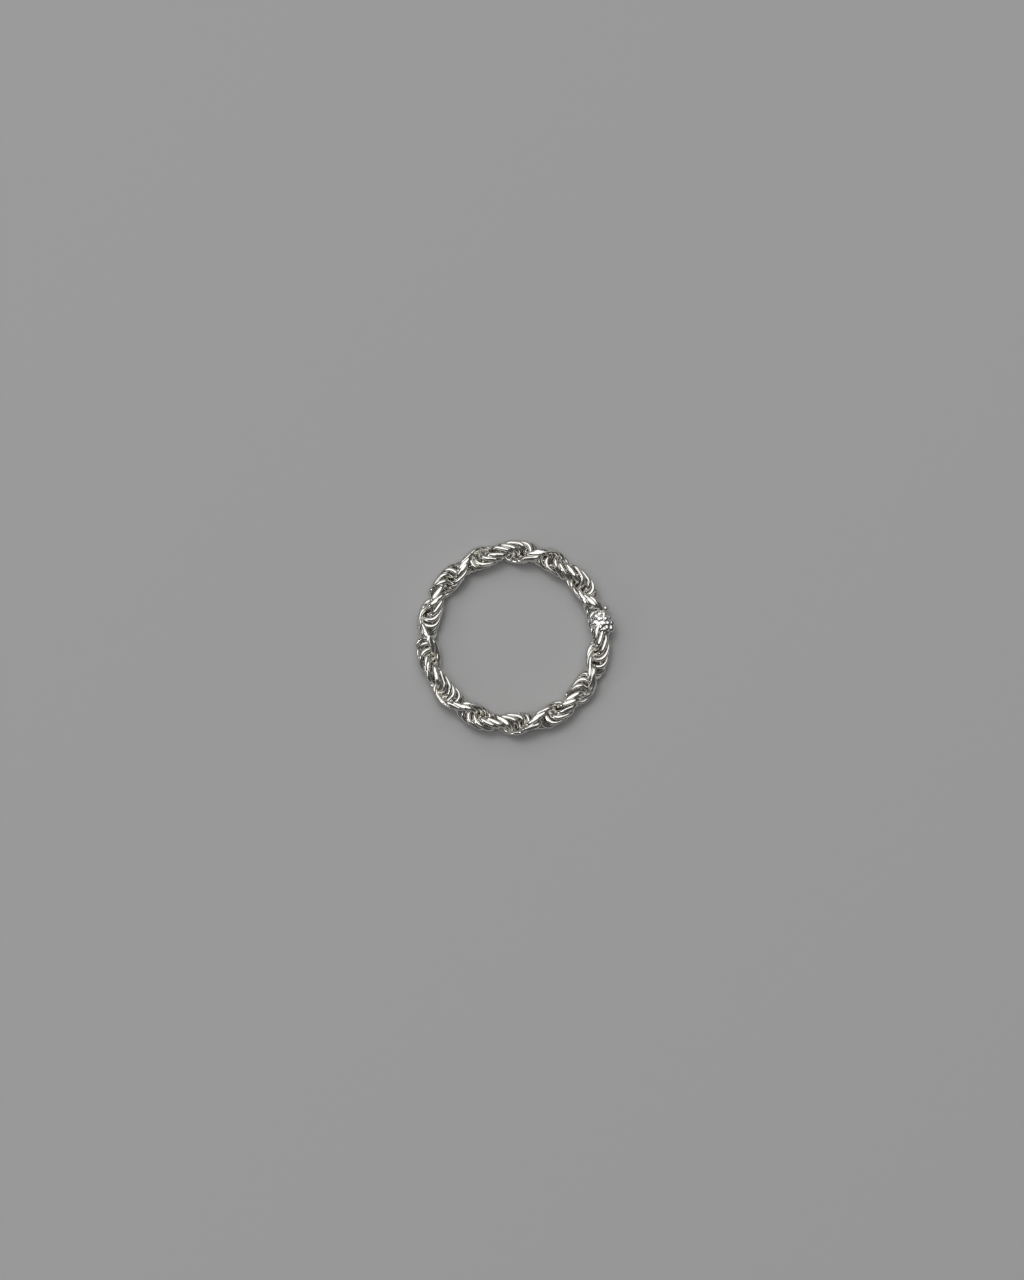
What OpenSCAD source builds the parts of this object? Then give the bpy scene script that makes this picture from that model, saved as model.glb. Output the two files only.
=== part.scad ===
// Rope twist ring: a closed rope of small round wire links, soldered at one place.
// Every link passes through the two links before it and the two after it. Each one is
// turned a little further round the rope, so the links' rims read as two twisted strands.
// Units are millimetres. The ring lies flat on Z = 0 with its axis along +Z,
// and the origin is under the middle of its bounding box.

/* [Ring] */
// Inner diameter of the finished ring
finger_d = 17.3; // [16.5:0.1:18.5]
// Width of the rope, measured over the real wire
rope_d = 2.615; // [2.56:0.005:2.66]
// Whole turns that the rope twists on its way round
twist_turns = 7; // [6:1:8]

/* [Wire] */
// Diameter of the wire as drawn: thinner than the real one, so that links stay clear
wire_d = 0.32; // [0.28:0.01:0.33]
// Free space kept between the solder and the loose links
link_gap = 0.11; // [0.1:0.01:0.14]

/* [Solder joint] */
// Place of the joint round the ring, in degrees from +X
joint_angle = 11; // [0:1:20]
// Largest radius of a solder bead
bead_r_max = 0.42; // [0.34:0.01:0.44]

/* [Twist] */
// Place where one strand crosses over the top of the ring, in degrees from +X
crossing_angle = 25.3; // [20:0.1:30]
// How far the real twist runs ahead of an even one, in degrees round the rope
twist_drift = 16; // [0:1:20]

/* [Hidden] */
links_per_turn = 72 / 7;
link_count = 2 * round(twist_turns * links_per_turn / 2);
step_angle = 360 / link_count;
// Mean radius of a link for each millimetre between link centres: the closest packing
link_size = 1.257;
size_share = link_size * step_angle * PI / 180;
ring_r = (finger_d + rope_d) / 2;
link_r = size_share * ring_r;
wire_r = wire_d / 2;
// The joint takes in its own link and one on each side
joint_reach = 1;
drift_start = 30;
top_roll = 270;
// Beads that fill the middle of the joint's link: share of the link's radius, and angle
middle_beads = [[0, 0], [0.55, 8], [0.6, 188]];
// Beads on its rim: their angles, none where the loose links pass close by
rim_beads = [38, 142, 218, 322];

// Place round the ring of the centre of link i, counted from the joint
function place(i) = joint_angle + i * step_angle;

// Roll of link i about the rope: 0 lies flat, 90 stands on edge, the twist is left-handed
function roll(i) = top_roll - twist_turns * (place(i) - crossing_angle)
    - twist_drift * sin(place(i) - drift_start);

// Unit vectors of link i: outward from the ring, along the rope, across in the link's plane
function outward(i) = [cos(place(i)), sin(place(i)), 0];
function along(i) = [-sin(place(i)), cos(place(i)), 0];
function across(i) = cos(roll(i)) * outward(i) - [0, 0, sin(roll(i))];
function normal(i) = cross(across(i), along(i));
function centre(i) = ring_r * outward(i);

// Point at angle a on a circle round the middle of link i, by its share of the link's radius
function inside(i, a, share) =
    centre(i) + share * link_r * (cos(a) * across(i) + sin(a) * along(i));

// Distance from point p to the centre line of link i
function rim_distance(p, i) =
    let (d = p - centre(i), h = d * normal(i), flat = norm(d - h * normal(i)))
    norm([h, flat - link_r]);

// Room for a bead at p: up to the nearest loose link, less its wire and the gap
function bead_room(p) = min([
    for (j = [joint_reach + 1 : joint_reach + 3]) for (s = [-1, 1]) rim_distance(p, s * j)
]) - wire_r - link_gap;

// Beads of solder: their middles, and the largest radius that each has room for
beads = concat([for (b = middle_beads) inside(0, b[1], b[0])], [for (a = rim_beads) inside(0, a, 1)]);
function bead_r(p) = min(bead_r_max, bead_room(p));

// Reach of link i from the ring's middle along the unit vector d, and the most of all pieces
function reach(i, d) = centre(i) * d + link_r * norm(cross(normal(i), d)) + wire_r;
function most(d) = max(concat([for (i = [0 : link_count - 1]) reach(i, d)],
    [for (p = beads) p * d + bead_r(p)]));

// The ring is moved so that its bounding box stands on the origin
high = [most([1, 0, 0]), most([0, 1, 0])];
low = [most([-1, 0, 0]), most([0, -1, 0])];
seat = [(low[0] - high[0]) / 2, (low[1] - high[1]) / 2, most([0, 0, -1])];

// One closed round link in its place in the rope
module link(i) {
    rotate([0, 0, place(i)])
        translate([ring_r, 0, 0])
            rotate([0, roll(i), 0])
                rotate_extrude($fn = 40)
                    translate([link_r, 0])
                        circle(r = wire_r, $fn = 20);
}

// All the loose links of the rope, from one side of the joint round to the other
module rope_links() {
    color("silver")
        translate(seat)
            for (i = [joint_reach + 1 : link_count - joint_reach - 1]) link(i);
}

// The joint: three links flooded with solder into one solid
module solder_joint() {
    color("gainsboro")
        translate(seat)
            union() {
                for (i = [-joint_reach : joint_reach]) link(i);
                for (p = beads) translate(p) sphere(r = bead_r(p), $fn = 24);
            }
}

rope_links();
solder_joint();
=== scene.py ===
# %% [markdown]
# # A rope twist ring in silver
#
# The ring is a short length of rope chain, closed on itself and soldered at one place.
# Rope chain is made of closed wire links. Each link passes through its nearest neighbours on
# both sides, and each is turned a little further round the rope than the last.
# The rims then line up into two thick strands that wind round each other.
#
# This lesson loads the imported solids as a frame, then dresses them: every link in wire as
# thick as the real one, the run of solder at the joint, and polished silver under soft light.

# %% Load the frame
import math

import bmesh
import bpy
import numpy as np
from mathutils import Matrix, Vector


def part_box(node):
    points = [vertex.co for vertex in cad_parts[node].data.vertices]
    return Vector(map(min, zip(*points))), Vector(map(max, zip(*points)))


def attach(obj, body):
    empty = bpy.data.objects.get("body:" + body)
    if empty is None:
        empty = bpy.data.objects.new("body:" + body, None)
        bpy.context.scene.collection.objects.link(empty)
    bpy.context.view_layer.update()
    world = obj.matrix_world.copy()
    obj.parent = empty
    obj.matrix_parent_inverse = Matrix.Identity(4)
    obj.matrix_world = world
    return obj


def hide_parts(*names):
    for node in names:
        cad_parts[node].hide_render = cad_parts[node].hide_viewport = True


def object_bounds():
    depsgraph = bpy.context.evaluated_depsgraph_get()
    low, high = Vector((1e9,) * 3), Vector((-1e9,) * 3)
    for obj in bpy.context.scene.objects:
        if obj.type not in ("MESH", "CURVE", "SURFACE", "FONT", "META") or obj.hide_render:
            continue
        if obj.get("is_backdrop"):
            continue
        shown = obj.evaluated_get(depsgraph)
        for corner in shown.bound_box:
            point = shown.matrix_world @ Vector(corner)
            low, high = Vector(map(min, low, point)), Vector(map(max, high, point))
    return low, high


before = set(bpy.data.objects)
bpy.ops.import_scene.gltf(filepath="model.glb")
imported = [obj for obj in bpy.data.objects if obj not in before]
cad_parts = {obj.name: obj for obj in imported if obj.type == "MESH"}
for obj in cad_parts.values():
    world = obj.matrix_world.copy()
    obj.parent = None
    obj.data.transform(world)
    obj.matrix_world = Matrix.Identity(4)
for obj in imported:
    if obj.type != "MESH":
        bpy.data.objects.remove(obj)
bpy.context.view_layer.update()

# %% [markdown]
# ## The rope's sizes
#
# A jeweller describes this rope by its wire, the number of links and the number of twists.
# Most sizes here repeat those of the solids, in millimetres, and become metres at the end.
# The ring's place could be copied too, but the two might then drift apart. So it is found by
# laying the solids' round links over their own box. The links seen in the render differ:
# there are more of them, of thicker wire, longer than wide, and they lean with the strands,
# which closes the rope up as the photograph shows it. The solids keep a gap between links
# instead. The closed look has a price: 96 links of this wire don't fit in the rope, so
# neighbours run deep into each other inside it. They show how the rope looks, not how it is
# made, and the solids are the place to see links that pass through each other and stay clear.

# %% Sizes of the rope
MM = 0.001
FINGER_D = 17.3  # inner diameter of the ring
ROPE_D = 2.615  # width of the rope over its wire
WIRE_D = 0.56  # the links' wire
LINKS = 96
DRAWN_D = 0.32  # wire and number of links in the solids
DRAWN_LINKS = 72
TURNS = 7  # left-handed turns of the twist on the way round
JOINT_ANGLE = 11.0  # the soldered link's place, in degrees from +X
CROSSING_ANGLE = 25.3  # where one strand passes over the top
TWIST_DRIFT = 16.0  # the twist runs this far ahead of an even one, in degrees
DRIFT_START = 30.0
TOP_ROLL = 270.0
RING_R = (FINGER_D + ROPE_D) / 2
LINK_R = 1.257 * 2 * math.pi / DRAWN_LINKS * RING_R  # the solids' round links

# The links as seen, measured to the middle of their wire
HALF_WIDE = 1.11
HALF_LONG = 1.32
SQUARENESS = 2.5  # 2 is an ellipse, more has straighter sides
LEAN = 19.0  # degrees between a link's length and the rope
JOINT_SIZE = 0.86  # the three soldered links' size, as a share of a loose link's
FLAT_R = 1.335  # the rope's radius where its wires have been worn and buffed flat

# How much one link differs from the next
ROLL_NOISE, LEAN_NOISE = 6.0, 7.0  # degrees
PLACE_NOISE = 0.04  # mm
OVAL_NOISE = 0.008  # share of the width
SEAM_DIP, SEAM_HALF = 0.10, 0.05  # share of the wire, and radians along the link
SEAM_RIM, RIM_AT, RIM_HALF = 0.03, 0.16, 0.08  # a low rim on each side of the seam
print(f"ring radius {RING_R:.3f} mm, link radius {LINK_R:.3f} mm")


# %% [markdown]
# ## Where each link lies
#
# A link lies in a plane, so its place needs a centre and three directions: across its width,
# along its length, and its own axis. The roll turns the width about the rope. Each link could
# be placed by hand, or by an array modifier, but real rope isn't that even. One rule, worked
# out for all links at once as arrays, leaves room for a drift in the twist and for noise.

# %% Frames of the links
def link_frames(index, count, extra_roll=0.0, lean=0.0):
    """Centres and unit vectors (across, along, axis) of the numbered links, in mm.

    A link's centre is at ring radius, its place the joint's angle plus its number times
    360 / count degrees. Across = cos(roll) outward - sin(roll) up; along is the ring's
    tangent; axis = across x along. Lean then tips the link about its across vector."""
    degrees = JOINT_ANGLE + np.asarray(index) * 360.0 / count
    place = np.radians(degrees)
    roll = np.radians(TOP_ROLL - TURNS * (degrees - CROSSING_ANGLE)
                      - TWIST_DRIFT * np.sin(np.radians(degrees - DRIFT_START)) + extra_roll)
    zero = np.zeros_like(place)
    outward = np.stack([np.cos(place), np.sin(place), zero], -1)
    along = np.stack([-np.sin(place), np.cos(place), zero], -1)
    up = np.stack([zero, zero, zero + 1.0], -1)
    across = np.cos(roll)[:, None] * outward - np.sin(roll)[:, None] * up
    axis = np.cross(across, along)
    lean = np.radians(lean) + zero
    tipped = np.cos(lean)[:, None] * along + np.sin(lean)[:, None] * axis
    return RING_R * outward, across, tipped, np.cross(across, tipped)


centres, across, along, axis = link_frames(np.arange(2, DRAWN_LINKS - 1), DRAWN_LINKS)


def reach(direction):
    """Furthest extent of the solids' loose links along a unit vector d: centre . d plus the
    link's radius times the length of axis x d, at its most, plus half the drawn wire."""
    d = np.array(direction, float)
    return (centres @ d + LINK_R * np.linalg.norm(np.cross(axis, d), axis=1)).max() + DRAWN_D / 2


low, high = (np.array(corner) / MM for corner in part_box("rope_links"))
SEAT = np.array([(low[k] + high[k]) / 2 - (reach(np.eye(3)[k]) - reach(-np.eye(3)[k])) / 2
                 for k in range(3)])
print("middle of the ring in mm:", np.round(SEAT, 3))
print("solids' size less the links' reach:",
      np.round([high[k] - low[k] - reach(np.eye(3)[k]) - reach(-np.eye(3)[k])
                for k in range(3)], 3))

# %% [markdown]
# ## The camera
#
# The ring lies on a table and is seen from straight above, small in the frame. Its middle is
# one or two pixels off the picture's middle, and a pixel is 0.1155 mm at the ring. A camera
# close by would show the ring's sides, so it stands 40 cm away with a long lens.

# %% Camera
PIXEL = 0.1155  # mm at the ring's mid height
CAMERA_UP = 400.0
cam_data = bpy.data.cameras.new("camera")
cam_data.lens = 36.0 * CAMERA_UP / (1280 * PIXEL)  # the sensor's 36 mm is the long side
cam_data.clip_start, cam_data.clip_end = 0.01, 5.0
camera = bpy.data.objects.new("camera", cam_data)
camera.location = Vector((SEAT[0] - 1.3 * PIXEL, SEAT[1] - 2.0 * PIXEL,
                          SEAT[2] + CAMERA_UP)) * MM
bpy.context.scene.collection.objects.link(camera)
bpy.context.scene.camera = camera
bpy.context.scene.view_settings.view_transform = "Standard"
print("lens in mm:", round(cam_data.lens, 1))

# %% [markdown]
# ## Colours and node trees
#
# Colour pickers give sRGB values, and a shader works in linear light, so one function turns
# the one into the other. A second adds a node with its settings and its links, whatever
# kind it is. Everything else is plain data.

# %% Helpers for colours and nodes
def linear(hex_colour):
    """sRGB hex to linear RGB: c / 12.92 below 0.04045, else ((c + 0.055) / 1.055) ** 2.4."""
    srgb = [int(hex_colour[k:k + 2], 16) / 255 for k in (0, 2, 4)]
    return tuple(c / 12.92 if c <= 0.04045 else ((c + 0.055) / 1.055) ** 2.4 for c in srgb)


def add(tree, kind, links=(), inputs=(), **settings):
    """Adds a node, sets its properties, its inputs' values and its incoming links."""
    node = tree.nodes.new(kind)
    for name, value in settings.items():
        setattr(node, name, value)
    for key, value in dict(inputs).items():
        node.inputs[key].default_value = value
    for key, socket in dict(links).items():
        tree.links.new(socket, node.inputs[key])
    return node


# %% [markdown]
# ## Floor and light
#
# The table is plain grey, and the light comes softly from above and behind, so the shadow
# falls towards the bottom of the picture. Polished metal shows only what surrounds it. In an
# evenly bright room it would look like grey plastic: it needs something bright with an edge,
# and darkness round it. One round patch of sky, 38 degrees in radius, is that bright thing.
# It lights the ring from the world's own background, where a mirror can see it, and an area
# light in the same direction adds the soft shadow. The patch is hardly brighter than white:
# a glint much narrower than a pixel would otherwise fill the pixel with white. The rest of
# the room stays dim.

# %% Floor
FLOOR_GREY = "b5b5b5"  # matt pale grey
floor_mesh = bpy.data.meshes.new("floor")
floor_mesh.from_pydata([(-1.5, -1.5, 0), (1.5, -1.5, 0), (1.5, 1.5, 0), (-1.5, 1.5, 0)],
                       [], [(0, 1, 2, 3)])
floor = bpy.data.objects.new("floor", floor_mesh)
bpy.context.scene.collection.objects.link(floor)
floor_paint = bpy.data.materials.new("plain grey floor")
floor_paint.use_nodes = True
shader = floor_paint.node_tree.nodes["Principled BSDF"]
shader.inputs["Base Color"].default_value = (*linear(FLOOR_GREY), 1)
shader.inputs["Roughness"].default_value = 0.8
shader.inputs["Specular IOR Level"].default_value = 0.2
floor_mesh.materials.append(floor_paint)
floor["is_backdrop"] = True


# %% Soft light
def panel(name, azimuth, elevation, distance, width, height, power):
    """An area light facing the ring. Azimuth runs from +X towards +Y, in degrees."""
    a, e = math.radians(azimuth), math.radians(elevation)
    data = bpy.data.lights.new(name, "AREA")
    data.shape, data.size, data.size_y = "RECTANGLE", width, height
    data.energy = power
    light = bpy.data.objects.new(name, data)
    place = Vector((math.cos(a) * math.cos(e), math.sin(a) * math.cos(e), math.sin(e)))
    light.location = place * distance
    light.rotation_euler = place.to_track_quat("Z", "Y").to_euler()
    bpy.context.scene.collection.objects.link(light)
    return light


SKY_AZIMUTH, SKY_ELEVATION, SKY_RADIUS, SKY_LIGHT = 107.0, 66.0, 38.0, 1.15
SKY_EDGE = 4.0  # the patch fades over this many degrees on each side of its rim
ROOM_LOW, ROOM_HIGH = 0.12, 0.06  # the room's light near the horizon and overhead
BEHIND = "c8c8c6"  # what the camera sees past the floor
window = panel("window", 107, 62, 0.9, 0.36, 0.26, 1.75)
window.visible_glossy = False  # in the metal, the patch of sky stands for it
panel("side card", 205, 30, 0.5, 0.12, 0.10, 0.15)

world = bpy.data.worlds.new("studio")
world.use_nodes = True
bpy.context.scene.world = world
tree = world.node_tree
tree.nodes.clear()
where = add(tree, "ShaderNodeTexCoord").outputs["Generated"]
height = add(tree, "ShaderNodeSeparateXYZ", {"Vector": where}).outputs["Z"]
room = add(tree, "ShaderNodeMapRange", {"Value": height},
           {"From Min": 0.0, "From Max": 0.5, "To Min": ROOM_LOW, "To Max": ROOM_HIGH}).outputs[0]
a, e = math.radians(SKY_AZIMUTH), math.radians(SKY_ELEVATION)
aim = (math.cos(a) * math.cos(e), math.sin(a) * math.cos(e), math.sin(e))
facing = add(tree, "ShaderNodeVectorMath", {0: where}, {1: aim},
             operation="DOT_PRODUCT").outputs["Value"]
sky = add(tree, "ShaderNodeMapRange", {"Value": facing},
          {"From Min": math.cos(math.radians(SKY_RADIUS + SKY_EDGE)),
           "From Max": math.cos(math.radians(SKY_RADIUS - SKY_EDGE)), "To Min": 0.0,
           "To Max": SKY_LIGHT}).outputs[0]
total = add(tree, "ShaderNodeMath", {0: room, 1: sky}, operation="ADD").outputs[0]
seen = add(tree, "ShaderNodeBackground", inputs={"Color": (*linear(BEHIND), 1), "Strength": 1.0})
mirrored = add(tree, "ShaderNodeBackground", {"Strength": total}, {"Color": (1, 1, 1, 1)})
ray = add(tree, "ShaderNodeLightPath")
mix = add(tree, "ShaderNodeMixShader", {0: ray.outputs["Is Camera Ray"],
                                        1: mirrored.outputs[0], 2: seen.outputs[0]})
add(tree, "ShaderNodeOutputWorld", {"Surface": mix.outputs[0]})

# %% [markdown]
# ## Polished sterling silver
#
# Sterling is 92.5 per cent silver. Tumbled and buffed, its wire is a near mirror, almost
# white and faintly warm. A plain mirror would look like chrome. What tells silver from it are
# shallow dents from the tumbling, 0.2 mm wide, and finer rubs that dull the gloss in places.
# Down between the links a warm darker colour is painted in cloudy patches: painted shade,
# stronger where the mesh says a point lies deeper in the rope. The wire's reflection is also
# darkened towards its edges, painted shade for the dim surroundings seen there.

# %% Silver
CLOUD_MM = 0.9  # patches of the painted shade
RUB_MM = 0.06  # fine rubs, coarser than real ones so that they show
RUB_DULLS = 0.10  # how much the rubs add to the roughness at most
PAINTED_SHADE_MOST = 0.35  # painted shade: even the deepest wire stays mostly bright


def silver(name, colour, painted_shade_colour, roughness, dent_mm, dent_depth_mm):
    """Metal whose colour goes from bright to a darker painted shade with clouds times the
    attribute depth (0 on the rope's outside, 1 at its axis), with soft dents of the given width
    and depth."""
    material = bpy.data.materials.new(name)
    material.use_nodes = True
    tree = material.node_tree
    shader = tree.nodes["Principled BSDF"]
    shader.inputs["Metallic"].default_value = 1.0
    # Specular Tint dims the reflection towards the wire's edges: painted shade.
    shader.inputs["Specular Tint"].default_value = (0.42, 0.42, 0.41, 1)
    where = add(tree, "ShaderNodeTexCoord").outputs["Object"]
    depth = add(tree, "ShaderNodeAttribute", attribute_name="depth").outputs["Fac"]
    clouds = add(tree, "ShaderNodeTexNoise", {"Vector": where},
                 {"Scale": 1 / (CLOUD_MM * MM), "Detail": 3.0, "Roughness": 0.6}).outputs["Fac"]
    # painted shade: darker the deeper in the rope a point lies, in cloudy patches
    painted_shade = add(tree, "ShaderNodeMath", {0: clouds, 1: depth}, operation="MULTIPLY").outputs[0]
    painted_shade = add(tree, "ShaderNodeMapRange", {"Value": painted_shade},
                {"From Min": 0.25, "From Max": 0.60, "To Min": 0.0,
                 "To Max": PAINTED_SHADE_MOST}).outputs[0]
    blend = add(tree, "ShaderNodeMix", {"Factor": painted_shade}, data_type="RGBA")
    colour_sockets = [s for s in blend.inputs if s.type == "RGBA"]
    colour_sockets[0].default_value = (*linear(colour), 1)
    colour_sockets[1].default_value = (*linear(painted_shade_colour), 1)
    result = [s for s in blend.outputs if s.type == "RGBA"][0]
    tree.links.new(result, shader.inputs["Base Color"])
    rubs = add(tree, "ShaderNodeTexNoise", {"Vector": where},
               {"Scale": 1 / (RUB_MM * MM), "Detail": 4.0, "Roughness": 0.65}).outputs["Fac"]
    gloss = add(tree, "ShaderNodeMapRange", {"Value": rubs},
                {"From Min": 0.3, "From Max": 0.75, "To Min": roughness,
                 "To Max": roughness + RUB_DULLS}).outputs[0]
    tree.links.new(gloss, shader.inputs["Roughness"])
    dents = add(tree, "ShaderNodeTexNoise", {"Vector": where},
                {"Scale": 1 / (dent_mm * MM), "Detail": 1.0, "Roughness": 0.4}).outputs["Fac"]
    bump = add(tree, "ShaderNodeBump", {"Height": dents},
               {"Strength": 1.0, "Distance": dent_depth_mm * MM})
    tree.links.new(bump.outputs[0], shader.inputs["Normal"])
    return material


# The second colour of each is painted shade, laid deeper in the rope between the links.
polished = silver("polished sterling silver", "f6f4ee", "8c8064", 0.07, 0.24, 0.015)
run_solder = silver("bright silver solder", "f8f7f4", "9a9488", 0.08, 0.13, 0.014)


# %% [markdown]
# ## The links
#
# A closed link is a tube: one parameter goes round the link and the other round the wire.
# Blender's own torus makes only round ones, and a curve with a bevel makes them all alike. A
# grid of arrays gives a rounded oval and lets every link differ a little, as hand-linked rope
# does: a few degrees of roll and lean, a hair longer or wider, and at one place a fine seam
# where the link was cut, closed and soldered. Wear and the buff have flattened the wires
# where they stand out most, and those flats catch the light in broad flashes.

# %% Tubes along rounded ovals
def link_tubes(index, wire_r, steps, sides, rng=None, size=1.0):
    """Vertices (links, steps, sides, 3) in mm of oval links.

    P(u, v) = centre + p(u) (cos(u) across + sin(u) along) + r(u) (cos(v) out + sin(v) axis).
    p is the oval's polar radius: |cos(u) / a| and |sin(u) / b|, each to the power of the
    squareness, are added, and the sum is raised to -1 / squareness. Out is the oval's own
    outward normal, and r dips by a tenth at the seam."""
    n = len(index)
    noise = (lambda spread: rng.normal(0, spread, n)) if rng else (lambda spread: np.zeros(n))
    c, x, y, z = link_frames(index, LINKS, noise(ROLL_NOISE), LEAN + noise(LEAN_NOISE))
    c = c + PLACE_NOISE * np.stack([noise(1), noise(1), noise(1)], -1)
    oval = 1 + noise(OVAL_NOISE)
    a, b = size * HALF_WIDE * oval[:, None], size * HALF_LONG / oval[:, None]
    u = np.linspace(0, 2 * np.pi, steps, endpoint=False)
    v = np.linspace(0, 2 * np.pi, sides, endpoint=False)
    p = (abs(np.cos(u) / a) ** SQUARENESS + abs(np.sin(u) / b) ** SQUARENESS) ** (-1 / SQUARENESS)
    line = (c[:, None] + (p * np.cos(u))[:, :, None] * x[:, None]
            + (p * np.sin(u))[:, :, None] * y[:, None])
    step = np.roll(line, -1, 1) - np.roll(line, 1, 1)
    out = np.cross(step, z[:, None])
    out /= np.linalg.norm(out, axis=-1, keepdims=True)
    r = np.full((n, steps), wire_r)
    if rng:
        seam = rng.uniform(0, 2 * np.pi, n)[:, None]
        gap = np.angle(np.exp(1j * (u[None, :] - seam)))
        r = r * (1 - SEAM_DIP * np.exp(-(gap / SEAM_HALF) ** 2)
                 + SEAM_RIM * np.exp(-((abs(gap) - RIM_AT) / RIM_HALF) ** 2))
    ring = np.cos(v)[:, None] * out[:, :, None] + np.sin(v)[:, None] * z[:, None, None]
    return line[:, :, None] + r[:, :, None, None] * ring


def tube_faces(count, steps, sides):
    """Quads of closed tubes: each corner's neighbours in u and v, both wrapping round."""
    at = np.arange(count * steps * sides).reshape(count, steps, sides)
    right, up = np.roll(at, -1, 1), np.roll(at, -1, 2)
    return np.stack([at, right, np.roll(right, -1, 2), up], -1).reshape(-1, 4)


def rope_depth(points):
    """How deep in the rope each point lies: 1 at the rope's axis, 0 at its outside, as
    1 minus the distance from the ring's centre line over the rope's radius."""
    flat = np.hypot(points[:, 0], points[:, 1]) - RING_R
    return np.clip(1 - np.hypot(flat, points[:, 2]) / (ROPE_D / 2), 0, 1)


def polish_flat(points):
    """Wires rub and are buffed flat where they stand out most: points further than FLAT_R
    from the rope's centre line are drawn straight in to that distance."""
    far = np.hypot(points[:, 0], points[:, 1])
    flat = far - RING_R
    away = np.hypot(flat, points[:, 2])
    share = np.minimum(1, FLAT_R / np.maximum(away, 1e-9))
    turned = (RING_R + flat * share) / far
    return points * np.stack([turned, turned, share], -1)


def piece(name, points, faces, material):
    """A mesh object at the origin from points in mm about the ring's middle."""
    mesh = bpy.data.meshes.new(name)
    mesh.from_pydata(((points + SEAT) * MM).tolist(), [], faces.tolist())
    mesh.polygons.foreach_set("use_smooth", np.ones(len(mesh.polygons), bool))
    depth = mesh.attributes.new("depth", "FLOAT", "POINT")
    depth.data.foreach_set("value", rope_depth(points).astype(np.float32))
    mesh.materials.append(material)
    made = bpy.data.objects.new(name, mesh)
    bpy.context.scene.collection.objects.link(made)
    mesh.update()
    print(name, "triangles:", sum(len(p.vertices) - 2 for p in mesh.polygons))
    return made


# %% Loose links
LOOSE = np.arange(2, LINKS - 1)
STEPS, SIDES = 48, 22
tubes = link_tubes(LOOSE, WIRE_D / 2, STEPS, SIDES, np.random.default_rng(7)).reshape(-1, 3)
links = piece("rope_of_links", polish_flat(tubes), tube_faces(len(LOOSE), STEPS, SIDES), polished)
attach(links, "root")
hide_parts("rope_links")

# %% [markdown]
# ## The solder joint
#
# Where the rope's two ends meet, three links are flooded with silver solder. It has filled
# the middle link, which lies almost flat, heaped up over the wires that pass through it, and
# frozen in bright beads round its rim and on top. Separate balls would meet in sharp creases,
# and molten metal has none. Metaballs draw such a heap too, but they are hard to keep to a
# size. So links and balls are joined, remeshed into one skin, and smoothed, which draws
# fillets between them as surface tension does. A remesh can also leave a tiny closed pocket
# inside, which nobody sees but a 3-D printer would meet, so only the outer skin is kept.

# %% Beads of solder
HEAP_MIDDLE = (0.28, -0.36)  # mm across and along from the middle of the link
HEAP_SLOPE = 0.27  # the link lies 15 degrees off flat, and the heap is level

# Rings of beads, in mm: how many, half the oval's width and length, height, radius
BEAD_RINGS = ((11, 0.92, 1.14, 0.70, 0.40), (9, 0.70, 0.95, -0.2, 0.30),
              (7, 0.50, 0.66, 0.95, 0.37), (2, 0.12, 0.14, 1.08, 0.33))
# Two drops that ran over, in mm: across, along, height, radius
STRAY_DROPS = ((0.98, 1.34, 0.30, 0.42), (1.3, -1.35, 0.05, 0.24))
SKIN_VOXEL, SKIN_SMOOTHING = 0.035, 4  # mm, and passes


def beads_of_solder(rng):
    """Rows of x across, y along, z up the middle link's axis, and radius, in mm: a heap of
    seven large balls above and below, rings of beads round and on it, and two stray drops.
    Each ring's beads stand evenly round an oval, give or take a few degrees."""
    x0, y0 = HEAP_MIDDLE
    heap = [(x0 + 0.5 * (k > 0) * math.cos(k * math.pi / 3),
             y0 + 0.66 * (k > 0) * math.sin(k * math.pi / 3),
             side * 0.45 + 0.2, 0.68 - 0.06 * (k > 0)) for k in range(7) for side in (-1, 1)]
    rows = [np.array(heap)]
    for count, wide, long, z, size in BEAD_RINGS:
        angle = np.radians(np.arange(count) * 360 / count + rng.uniform(-7, 7, count))
        spread = rng.uniform(0.92, 1.06, count)
        rows.append(np.stack([x0 + wide * spread * np.cos(angle),
                              y0 + long * spread * np.sin(angle),
                              z + rng.uniform(-0.07, 0.07, count),
                              size * rng.uniform(0.85, 1.2, count)], -1))
    rows = np.concatenate(rows + [np.array(STRAY_DROPS)])
    rows[:, 2] += HEAP_SLOPE * rows[:, 0]
    return rows


def balls(spots, rows, columns):
    """Closed balls round given points, from latitude and longitude, as quads and caps."""
    c, x, y, z = (part[0] for part in link_frames(np.array([0]), LINKS))
    centre = c + spots[:, :1] * x + spots[:, 1:2] * y + spots[:, 2:3] * z
    lat = np.linspace(-np.pi / 2, np.pi / 2, rows)[:, None]
    lon = np.linspace(0, 2 * np.pi, columns, endpoint=False)[None, :]
    unit = np.stack([np.cos(lat) * np.cos(lon), np.cos(lat) * np.sin(lon),
                     np.sin(lat) + 0 * lon], -1)
    points = centre[:, None, None] + spots[:, 3][:, None, None, None] * unit
    at = np.arange(points.size // 3).reshape(points.shape[:3])
    right = np.roll(at, -1, 2)
    quads = np.stack([at[:, :-1], right[:, :-1], right[:, 1:], at[:, 1:]], -1).reshape(-1, 4)
    return points.reshape(-1, 3), quads


def shell_numbers(mesh):
    """The connected shell that each vertex belongs to. Every vertex starts with its own number,
    and the lowest number is handed on along the edges until none changes."""
    ends = np.empty(len(mesh.edges) * 2, np.int32)
    mesh.edges.foreach_get("vertices", ends)
    a, b = ends.reshape(-1, 2).T
    number = np.arange(len(mesh.vertices))
    while True:
        lowest = number.copy()
        np.minimum.at(lowest, a, number[b])
        np.minimum.at(lowest, b, number[a])
        lowest = lowest[lowest]
        if (lowest == number).all():
            return number
        number = lowest


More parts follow.
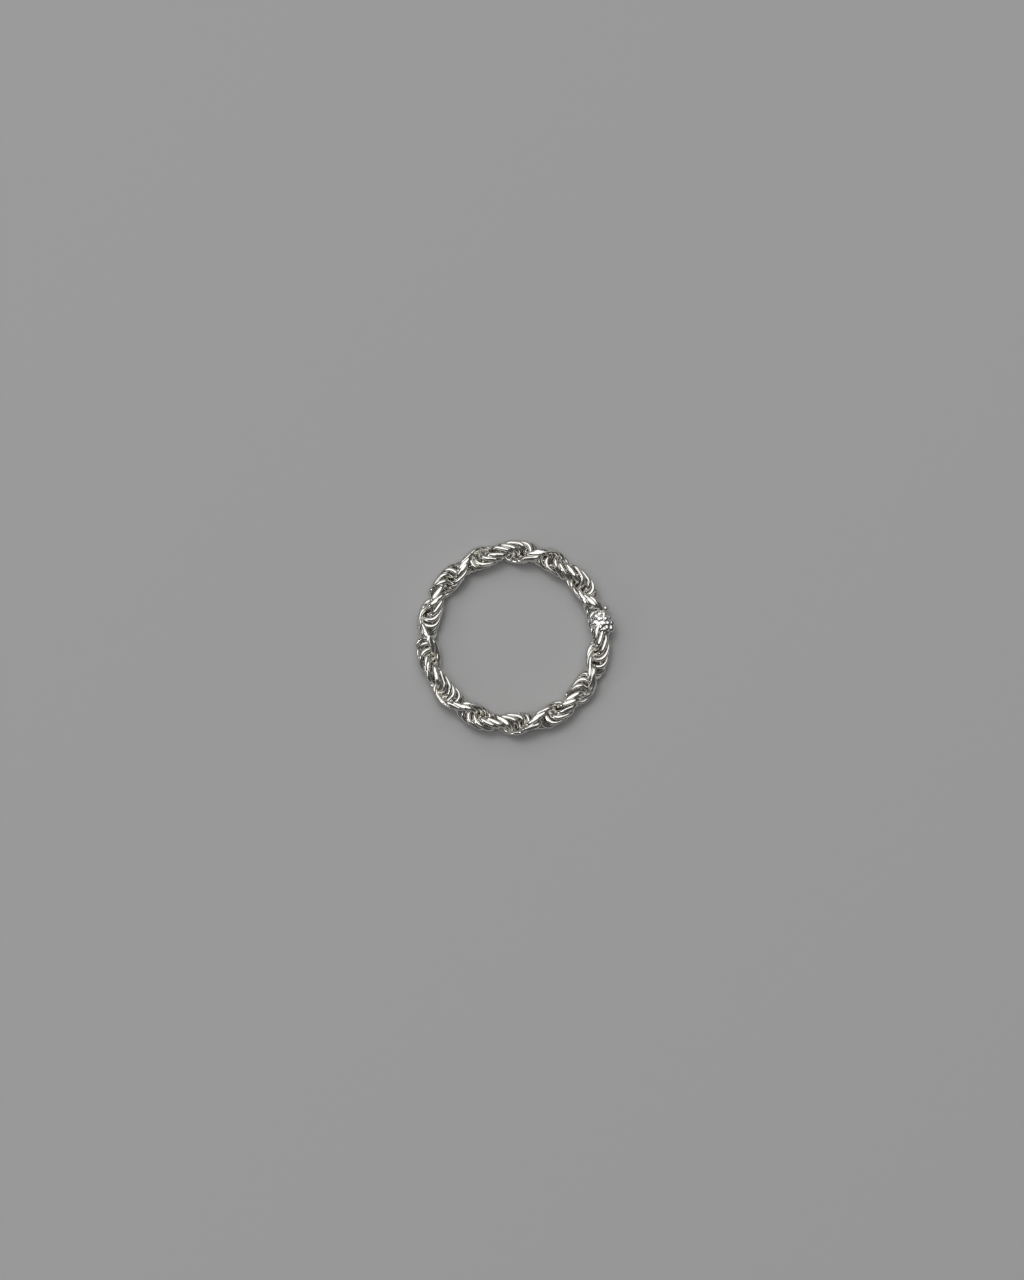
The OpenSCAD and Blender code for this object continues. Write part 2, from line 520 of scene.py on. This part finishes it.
def keep_largest_shell(mesh):
    """Deletes every shell of the mesh but the one with the most vertices."""
    number = shell_numbers(mesh)
    shells, sizes = np.unique(number, return_counts=True)
    print("shells of the skin:", sorted(sizes.tolist(), reverse=True))
    work = bmesh.new()
    work.from_mesh(mesh)
    work.verts.ensure_lookup_table()
    inner = np.flatnonzero(number != shells[sizes.argmax()])
    bmesh.ops.delete(work, geom=[work.verts[k] for k in inner], context="VERTS")
    work.to_mesh(mesh)
    work.free()


ends = link_tubes(np.array([-1, 0, 1]), WIRE_D / 2, 96, 24, size=JOINT_SIZE).reshape(-1, 3)
blobs, blob_faces = balls(beads_of_solder(np.random.default_rng(3)), 17, 32)
solder = piece("solder_run", np.concatenate([ends, blobs]),
               np.concatenate([tube_faces(3, 96, 24), blob_faces + len(ends)]), run_solder)
remesh = solder.modifiers.new("one skin", "REMESH")
remesh.mode, remesh.voxel_size, remesh.use_smooth_shade = "VOXEL", SKIN_VOXEL * MM, True
relax = solder.modifiers.new("surface tension", "SMOOTH")
relax.factor, relax.iterations = 0.5, SKIN_SMOOTHING
skin = bpy.data.meshes.new_from_object(
    solder.evaluated_get(bpy.context.evaluated_depsgraph_get()))
solder.modifiers.clear()
solder.data = skin
skin.name = "solder_run"
keep_largest_shell(skin)
points = np.empty(len(skin.vertices) * 3)
skin.vertices.foreach_get("co", points)
points = points.reshape(-1, 3) / MM - SEAT
if "depth" not in skin.attributes:
    skin.attributes.new("depth", "FLOAT", "POINT")
skin.attributes["depth"].data.foreach_set("value", rope_depth(points).astype(np.float32))
if not skin.materials:
    skin.materials.append(run_solder)
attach(solder, "root")
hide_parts("solder_joint")
print("solder skin triangles:", sum(len(p.vertices) - 2 for p in skin.polygons))

# %% [markdown]
# ## Measure and finish
#
# The dressed ring must keep to the solids' size, and its box is printed in millimetres. The
# real wire is thicker than the solids', so it reaches a little lower, and the floor is let
# down to its lowest point: a ring that sinks in or floats gives itself away by its shadow.

# %% Sizes
new_box = [list(map(float, corner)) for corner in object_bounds()]
floor.location.z = new_box[0][2]
print("dressed box in mm:", [[round(1000 * v, 2) for v in corner] for corner in new_box])
